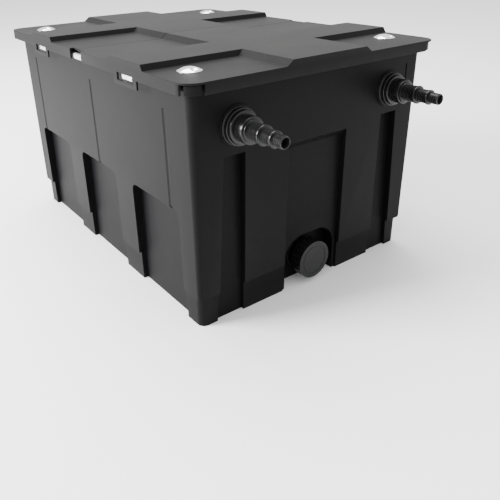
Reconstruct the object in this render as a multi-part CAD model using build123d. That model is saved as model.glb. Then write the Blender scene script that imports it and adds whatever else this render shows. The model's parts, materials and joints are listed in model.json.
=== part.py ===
from build123d import *
import os
from math import cos, pi, sin, tan, radians

# Multi-chamber pond filter: a drafted black tank with a two-piece lid, two pumped inlets with
# stepped hose tails on the front face, a capped drain below them and one outlet at the rear.
# Frame: millimetres, +Z up, -Y is the front (inlet) face, origin at the middle of the underside.

# ---- driving dimensions -------------------------------------------------------------------
LID_WIDTH = 585.0            # X, over the skirt
LID_LENGTH = 785.0           # Y, both halves together
LID_TOP = 446.0              # Z of the lid's low flat areas
RELIEF = 10.0                # height of the moulded spine and bars above LID_TOP
PLATE = 3.5                  # lid wall
SKIRT_BOTTOM = 426.0         # Z of the lid skirt's lower edge
LID_CORNER = 30.0            # plan radius of the lid's corners
SEAM_GAP = 1.0               # between the two lid halves

WALL = 4.5                   # tank wall
DRAFT = 1.0                  # degrees, tank walls
BASE_HALF_X = 260.5          # tank at the ground
BASE_HALF_Y = 358.5
BAND_TOP = 60.0              # top of the stepped-in bottom band
BAND_STEP = 6.0              # how far the walls step out above it
RIM_TOP = 438.0
TANK_CORNER = 9.0            # upright corners; the bottom band is rounder
BAND_CORNER = 14.0
FLOOR = 5.0

INLET_X = 184.5              # each side of the centre line
INLET_Z = 361.0
DRAIN_Z = 49.0
OUTLET_Z = 350.0
KNOB_X = 232.5
KNOB_Y = 311.0
CLEAR = 0.3                  # gap between pieces that turn or lift past each other
FIT = 0.05                   # radial running clearance of a turning fit

# hose tail: diameter over each step's widest part, and the step's length
TAIL_STEPS = ((34.0, 27.0), (28.0, 25.0), (21.0, 20.0))
TAIL_WALL = 2.6
TAIL_LIP = 1.2               # the first two steps end in a lip this much prouder than the step
LIP_LENGTH = 3.5

os.makedirs("parts", exist_ok=True)
slope = tan(radians(DRAFT))
UPPER_HALF_X = BASE_HALF_X + BAND_STEP
UPPER_HALF_Y = BASE_HALF_Y + BAND_STEP


# ---- helpers ------------------------------------------------------------------------------
def save(shape, name):
    export_step(shape, f"parts/{name}.step")


def block(x0, x1, y0, y1, z0, z1):
    return Pos((x0 + x1) / 2, (y0 + y1) / 2, (z0 + z1) / 2) * Box(x1 - x0, y1 - y0, z1 - z0)


def rod_y(x, z, y0, y1, radius):
    """A cylinder along Y."""
    return Pos(x, (y0 + y1) / 2, z) * Rot(90, 0, 0) * Cylinder(radius, y1 - y0)


def ring_y(x, z, y0, y1, outer, inner):
    return rod_y(x, z, y0, y1, outer) - rod_y(x, z, y0 - 1, y1 + 1, inner)


def rod_z(x, y, z0, z1, radius):
    return Pos(x, y, (z0 + z1) / 2) * Cylinder(radius, z1 - z0)


def rounded_prism(half_x, half_y, z0, z1, corner):
    return extrude(Pos(0, 0, z0) * RectangleRounded(2 * half_x, 2 * half_y, corner), z1 - z0)


def drafted_prism(half_x, half_y, z0, z1, corner):
    """A rounded rectangle at z0 that widens upwards by the tank's draft."""
    outline = Pos(0, 0, z0) * RectangleRounded(2 * half_x, 2 * half_y, corner)
    return extrude(outline, z1 - z0, taper=-DRAFT)


def prism_along_x(points, x0, x1):
    """Extrudes a (y, z) outline from x0 to x1."""
    outline = make_face(Polyline(*[(x0, y, z) for y, z in points], close=True))
    return extrude(outline, x1 - x0, dir=(1, 0, 0))


def prism_along_y(points, y0, y1):
    """Extrudes an (x, z) outline from y0 to y1."""
    outline = make_face(Polyline(*[(x, y0, z) for x, z in points], close=True))
    return extrude(outline, y1 - y0, dir=(0, 1, 0))


def side_wall(z):
    """Outer X of the long walls at height z, above the bottom band."""
    return UPPER_HALF_X + (z - BAND_TOP) * slope


def end_wall(z):
    return UPPER_HALF_Y + (z - BAND_TOP) * slope


# ---- tank ---------------------------------------------------------------------------------
PANEL_CENTRES = (-232.0, 2.0, 234.0)   # recessed lower panels of the long walls
PANEL_HALF = 82.0
PANEL_TOP = 212.0
PANEL_FLOOR = 251.5
PANEL_CORNER = 14.0
GROOVE_CENTRES = (-290.0, -10.0, 292.0)
GROOVE_RADIUS = 12.0
GROOVE_DEPTH = 1.4
CHANNEL_TOP = 312.0                    # upright channels beside the corners of the end walls
CHANNEL_INNER = 168.0
CHANNEL_OUTER_TOP = 212.0
CHANNEL_OUTER_BASE = 226.0
CHANNEL_FLOOR = 352.0
RECESS_HALF = 72.0                     # central recess of the end walls, with an upright floor
RECESS_TOP = 303.0
REAR_RECESS_TOP = 278.0                # lower, to clear the outlet's lock nut inside
RECESS_FADE = 14.0                     # its top slopes in over this height
RECESS_FLOOR = 355.0
ARCH_HALF = 64.5                       # drain niche, open at the ground
ARCH_TOP = 104.0
ARCH_CORNER = 44.0
ARCH_FLOOR = 328.0
OUTSIDE = 420.0                        # beyond every wall


def panel_recess(side, centre, grow):
    half = PANEL_HALF + grow
    niche = block(PANEL_FLOOR - grow, OUTSIDE, centre - half, centre + half, -1, PANEL_TOP + grow)
    top_corners = niche.edges().filter_by(Axis.X).group_by(Axis.Z)[-1]
    niche = fillet(top_corners, PANEL_CORNER + grow)
    return niche if side > 0 else mirror(niche, Plane.YZ)


def channel_recess(side, end, grow):
    inner = CHANNEL_INNER - grow
    points = [
        (inner, -1),
        (CHANNEL_OUTER_BASE + grow, -1),
        (CHANNEL_OUTER_TOP + grow, CHANNEL_TOP + grow),
        (inner, CHANNEL_TOP + grow),
    ]
    niche = prism_along_y(points, CHANNEL_FLOOR - grow, OUTSIDE)
    niche = niche if side > 0 else mirror(niche, Plane.YZ)
    return niche if end > 0 else mirror(niche, Plane.XZ)


def centre_recess(end, grow):
    floor = RECESS_FLOOR - grow
    top = REAR_RECESS_TOP if end > 0 else RECESS_TOP
    points = [
        (floor, -1),
        (OUTSIDE, -1),
        (OUTSIDE, top + grow),
        (end_wall(top) - grow, top),
        (floor, top - RECESS_FADE),
    ]
    half = RECESS_HALF + grow
    niche = prism_along_x(points, -half, half)
    return niche if end > 0 else mirror(niche, Plane.XZ)


def drain_niche(grow):
    half = ARCH_HALF + grow
    niche = block(-half, half, -OUTSIDE, -(ARCH_FLOOR - grow), -1, ARCH_TOP + grow)
    top_corners = niche.edges().filter_by(Axis.Y).group_by(Axis.Z)[-1]
    return fillet(top_corners, ARCH_CORNER + grow)


def recesses(grow):
    """Every niche in the outside of the tank; grown by the wall for the inside surface."""
    niches = [drain_niche(grow), centre_recess(-1, grow), centre_recess(1, grow)]
    niches += [panel_recess(side, centre, grow) for side in (-1, 1) for centre in PANEL_CENTRES]
    niches += [channel_recess(side, end, grow) for side in (-1, 1) for end in (-1, 1)]
    return niches


def wall_groove(side, centre):
    """A shallow upright groove that follows the wall's draft."""
    low, high = PANEL_TOP + 1.0, 388.0
    middle = (low + high) / 2
    axis_x = side_wall(middle) - GROOVE_DEPTH + GROOVE_RADIUS
    groove = Pos(axis_x, centre, middle) * Rot(0, DRAFT, 0) * Cylinder(GROOVE_RADIUS, high - low)
    return groove if side > 0 else mirror(groove, Plane.YZ)


BOSS_OUTER = 372.5           # flat seats for the fittings, outside and inside the end walls
BOSS_INNER = 363.0
INLET_BOSS = 36.0
OUTLET_BOSS = 58.0
INLET_THREAD = 22.0          # radius of the threaded inlet body
OUTLET_THREAD = 40.0
DRAIN_THREAD = 27.0
LIP_HALF_X = 281.5           # turned-out rim that carries the lid
LIP_HALF_Y = 381.5
LIP_DEPTH = 8.0
BOSS_HALF_X = 288.0          # rim corners that fill the gaps in the lid's skirt
BOSS_HALF_Y = 388.0
BOSS_START_X = 261.5
BOSS_START_Y = 374.5
SHELF_TOP = 423.0            # corner shelves that hold the knob sockets
SHELF = 5.0
SOCKET_RADIUS = 15.5
DIVIDER_Y = 116.0
DIVIDER = 4.0
RAIL = 5.0
RAIL_START, RAIL_END = 250.5, 266.5   # X span of the rails; they end inside the wall
MARK_X = 232.0               # narrow upright groove high on the front wall, by the right corner
MARK_WIDTH = 3.0
MARK_DEPTH = 1.6
MARK_LOW, MARK_HIGH = 362.0, 403.0


def rim_corners():
    """The rim's four thick corners, each showing through a gap in the lid's skirt."""
    ring = rounded_prism(BOSS_HALF_X, BOSS_HALF_Y, SKIRT_BOTTOM, LID_TOP - PLATE - 1.5, LID_CORNER - 5.0)
    corners = ring & block(BOSS_START_X, 300, BOSS_START_Y, 400, 400, 460)
    corners += mirror(corners, Plane.YZ)
    return corners + mirror(corners, Plane.XZ)


def corner_shelf(sx, sy):
    shelf = block(205.0, 269.0, 272.0, 367.0, SHELF_TOP - SHELF, SHELF_TOP)
    inner_corner = shelf.edges().filter_by(Axis.Z).sort_by(lambda e: e.center().X + e.center().Y)[0]
    shelf = fillet(inner_corner, 25.0) - rod_z(KNOB_X, KNOB_Y, 400, 440, SOCKET_RADIUS)
    shelf = shelf if sx > 0 else mirror(shelf, Plane.YZ)
    return shelf if sy > 0 else mirror(shelf, Plane.XZ)


def divider_rails(side, y):
    """A pair of upright rails that a divider's edge slides between."""
    gap = DIVIDER / 2 + 0.4
    pair = block(RAIL_START, RAIL_END, y + gap, y + gap + RAIL, 70.0, 400.0)
    pair += block(RAIL_START, RAIL_END, y - gap - RAIL, y - gap, 70.0, 400.0)
    return pair if side > 0 else mirror(pair, Plane.YZ)


def wall_mark():
    """The shallow upright groove beside the right front corner."""
    deep = -(end_wall((MARK_LOW + MARK_HIGH) / 2) - MARK_DEPTH)
    half = MARK_WIDTH / 2
    return block(MARK_X - half, MARK_X + half, -OUTSIDE, deep, MARK_LOW, MARK_HIGH)


def make_tank():
    outer = drafted_prism(BASE_HALF_X, BASE_HALF_Y, 0, BAND_TOP + 1, BAND_CORNER)
    outer += drafted_prism(UPPER_HALF_X, UPPER_HALF_Y, BAND_TOP, RIM_TOP, TANK_CORNER)
    for niche in recesses(0.0):
        outer -= niche
    for side in (-1, 1):
        for centre in GROOVE_CENTRES:
            outer -= wall_groove(side, centre)
    outer -= wall_mark()
    outer += rounded_prism(LIP_HALF_X, LIP_HALF_Y, RIM_TOP - LIP_DEPTH, RIM_TOP, LID_CORNER - 7.0)
    outer += rim_corners()
    for x in (-INLET_X, INLET_X):
        outer += rod_y(x, INLET_Z, -BOSS_OUTER, -BOSS_INNER, INLET_BOSS)
    outer += rod_y(0, OUTLET_Z, BOSS_INNER, BOSS_OUTER, OUTLET_BOSS)

    corner = TANK_CORNER - WALL
    inner = drafted_prism(BASE_HALF_X - WALL, BASE_HALF_Y - WALL, FLOOR, BAND_TOP + WALL + 1, corner)
    inner += drafted_prism(UPPER_HALF_X - WALL, UPPER_HALF_Y - WALL, BAND_TOP + WALL, RIM_TOP + 5, corner)
    for niche in recesses(WALL):
        inner -= niche
    for x in (-INLET_X, INLET_X):
        inner -= rod_y(x, INLET_Z, -BOSS_OUTER, -BOSS_INNER, INLET_BOSS)
    inner -= rod_y(0, OUTLET_Z, BOSS_INNER, BOSS_OUTER, OUTLET_BOSS)
    for sx in (-1, 1):
        for sy in (-1, 1):
            inner -= corner_shelf(sx, sy)
        for y in (-DIVIDER_Y, DIVIDER_Y):
            inner -= divider_rails(sx, y)

    tank = outer - inner
    for x in (-INLET_X, INLET_X):
        tank -= rod_y(x, INLET_Z, -390, -350, INLET_THREAD + CLEAR)
    tank -= rod_y(0, OUTLET_Z, 350, 390, OUTLET_THREAD + CLEAR)
    tank -= rod_y(0, DRAIN_Z, -340, -315, DRAIN_THREAD + CLEAR)
    return tank


save(make_tank(), "tank")


# ---- foam seal on the rim -------------------------------------------------------------------
SEAL_TOP = LID_TOP - PLATE - 0.2
SEAL_HALF_X, SEAL_HALF_Y = 277.5, 374.0
SEAL_WIDTH = 7.5
seal = rounded_prism(SEAL_HALF_X, SEAL_HALF_Y, RIM_TOP, SEAL_TOP, 20.0)
seal -= rounded_prism(SEAL_HALF_X - SEAL_WIDTH, SEAL_HALF_Y - SEAL_WIDTH, RIM_TOP - 1, SEAL_TOP + 1, 12.5)
save(seal, "rim_seal")


# ---- lid halves -----------------------------------------------------------------------------
SPINE_TOP = 87.0             # half width of the raised spine at its top and foot
SPINE_FOOT = 100.0
# bars across the lid: steep face towards the front, long ramp towards the rear
BAR_PROFILES = (
    (-266.0, -260.0, -157.0, -125.0),
    (122.0, 128.0, 227.0, 250.0),
)
TAB_CENTRES = (-204.0, 190.0)          # latch tabs under the long skirts, one on each half
TAB_HALF = 40.0
TAB_BOTTOM = 411.0
WINDOW_HALF = 28.0
WINDOW_LOW, WINDOW_HIGH = 418.5, 431.5
CUT_X, CUT_Y = 258.5, 371.0            # the skirt stops here, open round each corner
NOTCH_FRONT, NOTCH_REAR = -28.0, 24.0  # gap in the skirt over the middle catches
NOTCH_DEPTH = 9.0
STEM = 8.0


def relief(drop, shrink):
    """The spine and the two bars, lowered and narrowed by the given amounts."""
    high = LID_TOP + RELIEF - drop
    low = LID_TOP - drop - 4.0
    spine = [
        (-SPINE_FOOT + shrink, low),
        (-SPINE_FOOT + shrink, low + 4.0),
        (-SPINE_TOP + shrink, high),
        (SPINE_TOP - shrink, high),
        (SPINE_FOOT - shrink, low + 4.0),
        (SPINE_FOOT - shrink, low),
    ]
    shape = prism_along_y(spine, -LID_LENGTH / 2, LID_LENGTH / 2)
    for foot_front, top_front, top_rear, foot_rear in BAR_PROFILES:
        bar = [
            (foot_front + shrink, low),
            (foot_front + shrink, low + 4.0),
            (top_front + shrink, high),
            (top_rear - shrink, high),
            (foot_rear - shrink, low + 4.0),
            (foot_rear - shrink, low),
        ]
        shape += prism_along_x(bar, -LID_WIDTH / 2, LID_WIDTH / 2)
    return shape


def make_lid():
    half_x, half_y = LID_WIDTH / 2, LID_LENGTH / 2
    edge = rounded_prism(half_x, half_y, 300, 500, LID_CORNER)
    lid = rounded_prism(half_x, half_y, SKIRT_BOTTOM, LID_TOP, LID_CORNER)
    lid += relief(0.0, 0.0) & edge
    for y in TAB_CENTRES:
        for x in (-half_x, half_x - PLATE):
            lid += block(x, x + PLATE, y - TAB_HALF, y + TAB_HALF, TAB_BOTTOM, LID_TOP)
    inner_edge = rounded_prism(half_x - PLATE, half_y - PLATE, 300, 500, LID_CORNER - PLATE)
    lid -= rounded_prism(half_x - PLATE, half_y - PLATE, 400, LID_TOP - PLATE, LID_CORNER - PLATE)
    lid -= relief(PLATE, 3.0) & inner_edge
    for sx in (-1, 1):
        for sy in (-1, 1):
            corner = block(CUT_X, 300, CUT_Y, 400, 400, LID_TOP - PLATE)
            corner = corner if sx > 0 else mirror(corner, Plane.YZ)
            lid -= corner if sy > 0 else mirror(corner, Plane.XZ)
            lid -= rod_z(sx * KNOB_X, sy * KNOB_Y, 430, 470, STEM + CLEAR)
        x0 = sx * (half_x - NOTCH_DEPTH)
        x1 = sx * (half_x + 1)
        lid -= block(min(x0, x1), max(x0, x1), NOTCH_FRONT, NOTCH_REAR, 400, 480)
    for y in TAB_CENTRES:
        lid -= block(-300, 300, y - WINDOW_HALF, y + WINDOW_HALF, WINDOW_LOW, WINDOW_HIGH)
    return lid


lid = make_lid()
front_half = block(-320, 320, -420, -SEAM_GAP / 2, 380, 480)
save(lid & front_half, "lid_front")
save(lid & mirror(front_half, Plane.XZ), "lid_rear")


# ---- catches on the tank that the lid's tabs and middle notches fit over ----------------------
CATCH_HALF = 17.5
CATCH_OUT = LID_WIDTH / 2 - PLATE - 0.5
catch_list = []
middle_list = []
for side in (-1, 1):
    for y in TAB_CENTRES:
        inner_x = side_wall(420.0) + 0.2
        tongue = block(inner_x, CATCH_OUT, y - CATCH_HALF, y + CATCH_HALF, 420.0, 430.0)
        tongue = chamfer(tongue.edges().filter_by(Axis.Y).group_by(Axis.X)[-1], 1.5)
        catch_list.append(tongue if side > 0 else mirror(tongue, Plane.YZ))
    post = block(LIP_HALF_X, LID_WIDTH / 2 - 2.5, -20.0, 13.0, 427.0, 438.0)
    post = chamfer(post.edges().filter_by(Axis.Y).group_by(Axis.X)[-1], 1.5)
    middle_list.append(post if side > 0 else mirror(post, Plane.YZ))
save(Compound(catch_list), "side_catches")
save(Compound(middle_list), "middle_catches")


# ---- quarter-turn knobs and their sockets -----------------------------------------------------
HEAD_RADIUS = 21.0
HEAD_HEIGHT = 6.5
BAR_HALF = 4.0
HOLLOW = 12.0                # radius of the two finger hollows
PEG_LONG, PEG_SHORT = 12.0, 7.5
SOCKET_BORE = 12.6


def make_knob(x, y):
    """Domed head with a grip bar between two finger hollows, stem, and an oval locking peg."""
    base = LID_TOP + CLEAR
    sphere_radius = (HEAD_RADIUS ** 2 + HEAD_HEIGHT ** 2) / (2 * HEAD_HEIGHT)
    dome = Pos(0, 0, base + HEAD_HEIGHT - sphere_radius) * Sphere(sphere_radius)
    head = dome & rod_z(0, 0, base, base + 30, HEAD_RADIUS - 0.4)
    for side in (-1, 1):
        hollow = Pos(0, side * (BAR_HALF + HOLLOW), base + HOLLOW + 1.4) * Sphere(HOLLOW)
        keep = block(-HOLLOW, HOLLOW, BAR_HALF, HEAD_RADIUS, base, base + 30)
        keep = keep if side > 0 else mirror(keep, Plane.XZ)
        head -= hollow & keep
    stem = rod_z(0, 0, 429.5, base + 1, STEM)
    peg = extrude(Pos(0, 0, 408.0) * Ellipse(PEG_LONG, PEG_SHORT), 22.0)
    return Pos(x, y, 0) * (head + stem + peg)


KNOBS = {
    "lid_knob_front_left": (-KNOB_X, -KNOB_Y),
    "lid_knob_front_right": (KNOB_X, -KNOB_Y),
    "lid_knob_rear_left": (-KNOB_X, KNOB_Y),
    "lid_knob_rear_right": (KNOB_X, KNOB_Y),
}
sockets = []
for name, (x, y) in KNOBS.items():
    save(make_knob(x, y), name)
    socket = rod_z(x, y, 413.0, SHELF_TOP, SOCKET_RADIUS)
    socket += rod_z(x, y, SHELF_TOP, SHELF_TOP + 3.0, SOCKET_RADIUS + 3.0)
    sockets.append(socket - rod_z(x, y, 400, 440, SOCKET_BORE))
save(Compound(sockets), "knob_sockets")


# ---- inlets ---------------------------------------------------------------------------------
# Everything is laid out along Y from the outer seat; "out" counts towards the front.
GASKET = 2.0
INLET_GASKET = 3.0
INLET_GASKET_RADIUS = 32.5
FLANGE_RADIUS = 31.5
FLANGE_LENGTH = 7.5
RING_RADIUS = 28.5
RING_LENGTH = 6.0
COLLAR_RADIUS = 23.0
COLLAR_LENGTH = 19.5
COLLAR_LIP = 2.6
SPIGOT_RADIUS = 18.5
SPIGOT_BORE = 13.5
SPIGOT_LENGTH = 10.5
TAIL_FLANGE = 3.0
NECK_RADIUS = 15.8
RIM_RADIUS = 19.5
RIM_LENGTH = 3.0
seat = -BOSS_OUTER
flange_back = seat - INLET_GASKET
ring_back = flange_back - FLANGE_LENGTH
collar_back = ring_back - RING_LENGTH
collar_front = collar_back - COLLAR_LENGTH
rim_front = collar_front - RIM_LENGTH
nut_length = 12.0


def hex_nut(x, z, y0, y1, across, bore):
    outline = Plane.XZ * RegularPolygon(across / 2, 6, major_radius=False)
    nut = Pos(x, y1, z) * extrude(outline, y1 - y0)
    return nut - rod_y(x, z, y0 - 1, y1 + 1, bore)


def make_inlet(name, x):
    z = INLET_Z
    save(ring_y(x, z, flange_back, seat, INLET_GASKET_RADIUS, INLET_THREAD + CLEAR), f"{name}_gasket")

    flange = rod_y(x, z, ring_back, flange_back, FLANGE_RADIUS)
    flange += rod_y(x, z, collar_back, ring_back, RING_RADIUS)
    flange += rod_y(x, z, flange_back, -BOSS_INNER + nut_length + 6, INLET_THREAD)
    flange += rod_y(x, z, collar_back - SPIGOT_LENGTH, collar_back, SPIGOT_RADIUS)
    flange -= rod_y(x, z, -450, -300, SPIGOT_BORE)
    save(flange, f"{name}_flange")

    save(hex_nut(x, z, -BOSS_INNER, -BOSS_INNER + nut_length, 60.0, INLET_THREAD), f"{name}_lock_nut")

    collar = rod_y(x, z, collar_front, collar_back - CLEAR, COLLAR_RADIUS)
    collar -= rod_y(x, z, collar_front + COLLAR_LIP, collar_back + 1, SPIGOT_RADIUS + FIT)
    collar -= rod_y(x, z, collar_front - 1, collar_front + COLLAR_LIP + 1, NECK_RADIUS + CLEAR)
    save(collar, f"{name}_collar")

    flange_front = collar_front + COLLAR_LIP + CLEAR
    tail = rod_y(x, z, flange_front, flange_front + TAIL_FLANGE, SPIGOT_RADIUS - CLEAR)
    tail += rod_y(x, z, rim_front, flange_front + 1, NECK_RADIUS)
    tail += rod_y(x, z, rim_front, collar_front - CLEAR, RIM_RADIUS)
    start = rim_front
    bore_start = flange_front + TAIL_FLANGE + 1
    for number, (diameter, length) in enumerate(TAIL_STEPS):
        end = start - length
        last = number == len(TAIL_STEPS) - 1
        body = diameter / 2 if last else diameter / 2 - TAIL_LIP
        bore_end = end - 1 if last else end + TAIL_WALL
        tail += rod_y(x, z, end, start, body)
        tail += rod_y(x, z, end, end + LIP_LENGTH, diameter / 2)
        tail -= rod_y(x, z, bore_end, bore_start, body - TAIL_WALL)
        start = end
        bore_start = end + TAIL_WALL + 1
    save(tail, f"{name}_hose_tail")


make_inlet("inlet_left", -INLET_X)
make_inlet("inlet_right", INLET_X)


# ---- drain ----------------------------------------------------------------------------------
CAP_RADIUS = 38.5
CAP_FACE = -370.0
CAP_LENGTH = 28.0
CAP_LOBES = 22
LOBE_RADIUS = 2.6
LOBE_OUT = 1.4               # the lobes are centred this far outside the cap
CAP_RIM = 3.0                # plain disc in front of the grip lobes
CAP_WALL = 4.0
drain_seat = -ARCH_FLOOR
drain_flange_back = drain_seat - GASKET
drain_flange_front = drain_flange_back - 4.0
spout_end = CAP_FACE + 6.0

save(ring_y(0, DRAIN_Z, drain_flange_back, drain_seat, 34.0, DRAIN_THREAD + CLEAR), "drain_gasket")

spout = rod_y(0, DRAIN_Z, drain_flange_front, drain_flange_back, 34.0)
spout += rod_y(0, DRAIN_Z, spout_end, -ARCH_FLOOR + WALL + 18.0, DRAIN_THREAD)
spout -= rod_y(0, DRAIN_Z, -400, -290, DRAIN_THREAD - 5.0)
save(spout, "drain_spout")

drain_nut_back = -(ARCH_FLOOR - WALL)
save(hex_nut(0, DRAIN_Z, drain_nut_back, drain_nut_back + 10.0, 70.0, DRAIN_THREAD), "drain_lock_nut")

cap = rod_y(0, DRAIN_Z, CAP_FACE, CAP_FACE + CAP_LENGTH, CAP_RADIUS)
for lobe in range(CAP_LOBES):
    angle = 2 * pi * lobe / CAP_LOBES
    lobe_x = (CAP_RADIUS + LOBE_OUT) * cos(angle)
    lobe_z = DRAIN_Z + (CAP_RADIUS + LOBE_OUT) * sin(angle)
    cap -= rod_y(lobe_x, lobe_z, CAP_FACE + CAP_RIM, CAP_FACE + CAP_LENGTH + 1, LOBE_RADIUS)
cap -= rod_y(0, DRAIN_Z, CAP_FACE + CAP_WALL, CAP_FACE + CAP_LENGTH + 1, DRAIN_THREAD + 0.4)
cap -= ring_y(0, DRAIN_Z, CAP_FACE - 1, CAP_FACE + 0.8, 29.5, 28.0)
save(cap, "drain_cap")
save(ring_y(0, DRAIN_Z, CAP_FACE + CAP_WALL, spout_end, DRAIN_THREAD - 0.5, 21.0), "drain_cap_seal")


# ---- outlet ---------------------------------------------------------------------------------
OUTLET_FLANGE = 55.0
OUTLET_RADIUS = 37.5         # takes a DN 70/75 pipe socket
OUTLET_REACH = 50.0
outlet_gasket = ring_y(
    0, OUTLET_Z, BOSS_OUTER, BOSS_OUTER + GASKET, OUTLET_FLANGE, OUTLET_THREAD + CLEAR
)
save(outlet_gasket, "outlet_gasket")
spigot = rod_y(0, OUTLET_Z, BOSS_OUTER + GASKET, BOSS_OUTER + GASKET + 6.0, OUTLET_FLANGE)
spigot += rod_y(0, OUTLET_Z, BOSS_INNER - 18.0, BOSS_OUTER + GASKET, OUTLET_THREAD)
spigot += rod_y(0, OUTLET_Z, BOSS_OUTER + GASKET, BOSS_OUTER + OUTLET_REACH, OUTLET_RADIUS)
spigot -= rod_y(0, OUTLET_Z, 300, 450, OUTLET_RADIUS - 3.5)
save(spigot, "outlet_spigot")
save(hex_nut(0, OUTLET_Z, BOSS_INNER - nut_length, BOSS_INNER, 100.0, OUTLET_THREAD), "outlet_lock_nut")


# ---- dividers between the three chambers --------------------------------------------------------
WEIR_TOP = 330.0
DIVIDER_TOP = 400.0
SLOT_WIDTH, SLOT_PITCH, SLOT_COUNT = 8.0, 20.0, 22


def divider_plate(y, z0, z1):
    low_half = BASE_HALF_X - WALL - 1.0
    high_half = UPPER_HALF_X - WALL - 1.0
    points = [
        (-low_half, z0),
        (low_half, z0),
        (low_half, BAND_TOP + WALL + 1),
        (high_half, BAND_TOP + WALL + 1),
        (high_half + (z1 - BAND_TOP) * slope, z1),
        (-high_half - (z1 - BAND_TOP) * slope, z1),
        (-high_half, BAND_TOP + WALL + 1),
        (-low_half, BAND_TOP + WALL + 1),
    ]
    return prism_along_y(points, y - DIVIDER / 2, y + DIVIDER / 2)


def slot_row(y, z0, z1):
    """Upright slots through a divider, in one row."""
    row = []
    for index in range(SLOT_COUNT):
        x = (index - (SLOT_COUNT - 1) / 2) * SLOT_PITCH
        row.append(block(x - SLOT_WIDTH / 2, x + SLOT_WIDTH / 2, y - 10, y + 10, z0, z1))
    return row


weir = divider_plate(-DIVIDER_Y, FLOOR, WEIR_TOP)
for slot in slot_row(-DIVIDER_Y, WEIR_TOP - 30.0, WEIR_TOP + 5.0):
    weir -= slot
save(weir, "front_divider")
underflow = divider_plate(DIVIDER_Y, FLOOR, DIVIDER_TOP)
for slot in slot_row(DIVIDER_Y, 12.0, 48.0):
    underflow -= slot
save(underflow, "rear_divider")


# ---- support grids and filter media -----------------------------------------------------------
GRID_Z = 58.0
GRID = 5.0
GRID_HALF_X = 240.0
HOLE_PITCH = 30.0
CHAMBERS = {
    "front": (-300.0, -124.0),
    "middle": (-106.0, 106.0),
    "rear": (124.0, 326.0),
}


def support_grid(chamber):
    """A slotted plate on legs that holds the media clear of the floor."""
    y0, y1 = CHAMBERS[chamber]
    plate = block(-GRID_HALF_X, GRID_HALF_X, y0, y1, GRID_Z, GRID_Z + GRID)
    for x in (-GRID_HALF_X, -6.0, GRID_HALF_X - 12.0):
        for y in (y0, y1 - 12.0):
            plate += block(x, x + 12.0, y, y + 12.0, FLOOR, GRID_Z + 1)
    rows = int((y1 - y0 - 30.0) // HOLE_PITCH)
    first = (y0 + y1) / 2 - (rows - 1) * HOLE_PITCH / 2
    for row in range(rows):
        y = first + row * HOLE_PITCH
        for column in range(7):
            x = (column - 3) * 64.0
            plate -= block(x - 24.0, x + 24.0, y - 4.0, y + 4.0, GRID_Z - 1, GRID_Z + GRID + 1)
    return plate


MEDIA_Z = GRID_Z + GRID
CARTRIDGE_COUNT = 4
CARTRIDGE_PITCH = 119.0
CARTRIDGE_X, CARTRIDGE_Y, CARTRIDGE_HEIGHT = 108.0, 130.0, 250.0
POST = 12.0
front_y = -222.0
cartridge_grid = support_grid("front")
for index in range(CARTRIDGE_COUNT):
    x = (index - (CARTRIDGE_COUNT - 1) / 2) * CARTRIDGE_PITCH
    cartridge_grid += rod_z(x, front_y, GRID_Z, MEDIA_Z + CARTRIDGE_HEIGHT - 20.0, POST)
    foam = extrude(
        Pos(x, front_y, MEDIA_Z) * RectangleRounded(CARTRIDGE_X, CARTRIDGE_Y, 14.0),
        CARTRIDGE_HEIGHT,
    )
    foam -= rod_z(x, front_y, MEDIA_Z - 1, MEDIA_Z + CARTRIDGE_HEIGHT - 19.0, POST + CLEAR)
    save(foam, f"foam_cartridge_{index + 1}")
save(cartridge_grid, "cartridge_grid")
save(support_grid("middle"), "mat_grid")
save(support_grid("rear"), "media_grid")

MAT_THICKNESS = 42.0
for index, name in enumerate(("coarse_mat", "medium_mat", "fine_mat")):
    z = MEDIA_Z + index * (MAT_THICKNESS + 1.0)
    mat = extrude(Pos(0, 0, z) * RectangleRounded(474.0, 206.0, 10.0), MAT_THICKNESS)
    save(mat, name)

BAG_HALF_X = 115.0
BAG_HEIGHT = 84.0


def media_bag(x, z, height):
    bag = block(x - BAG_HALF_X, x + BAG_HALF_X, 134.0, 324.0, z, z + height)
    return fillet(bag.edges(), 24.0)


for side, name in ((-1, "left"), (1, "right")):
    x = side * (BAG_HALF_X + 3.0)
    save(media_bag(x, MEDIA_Z, BAG_HEIGHT), f"ceramic_bag_{name}")
    save(media_bag(x, MEDIA_Z + BAG_HEIGHT + 2.0, BAG_HEIGHT + 20.0), f"ball_bag_{name}")
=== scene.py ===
# %% [markdown]
# # A multi-chamber pond filter
# The real object is a black moulded box that stands beside a pond. A pump pushes water in through
# two stepped hose tails, the water passes foam, fibre mats and media, and it leaves at the back.
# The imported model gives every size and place. This lesson gives the box its soft moulded edges,
# its plastics, its plated knobs, and the foam and media that show when the lid is lifted.

# %% Load the frame
import json
import math
import random

import bpy
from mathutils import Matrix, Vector, noise

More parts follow.
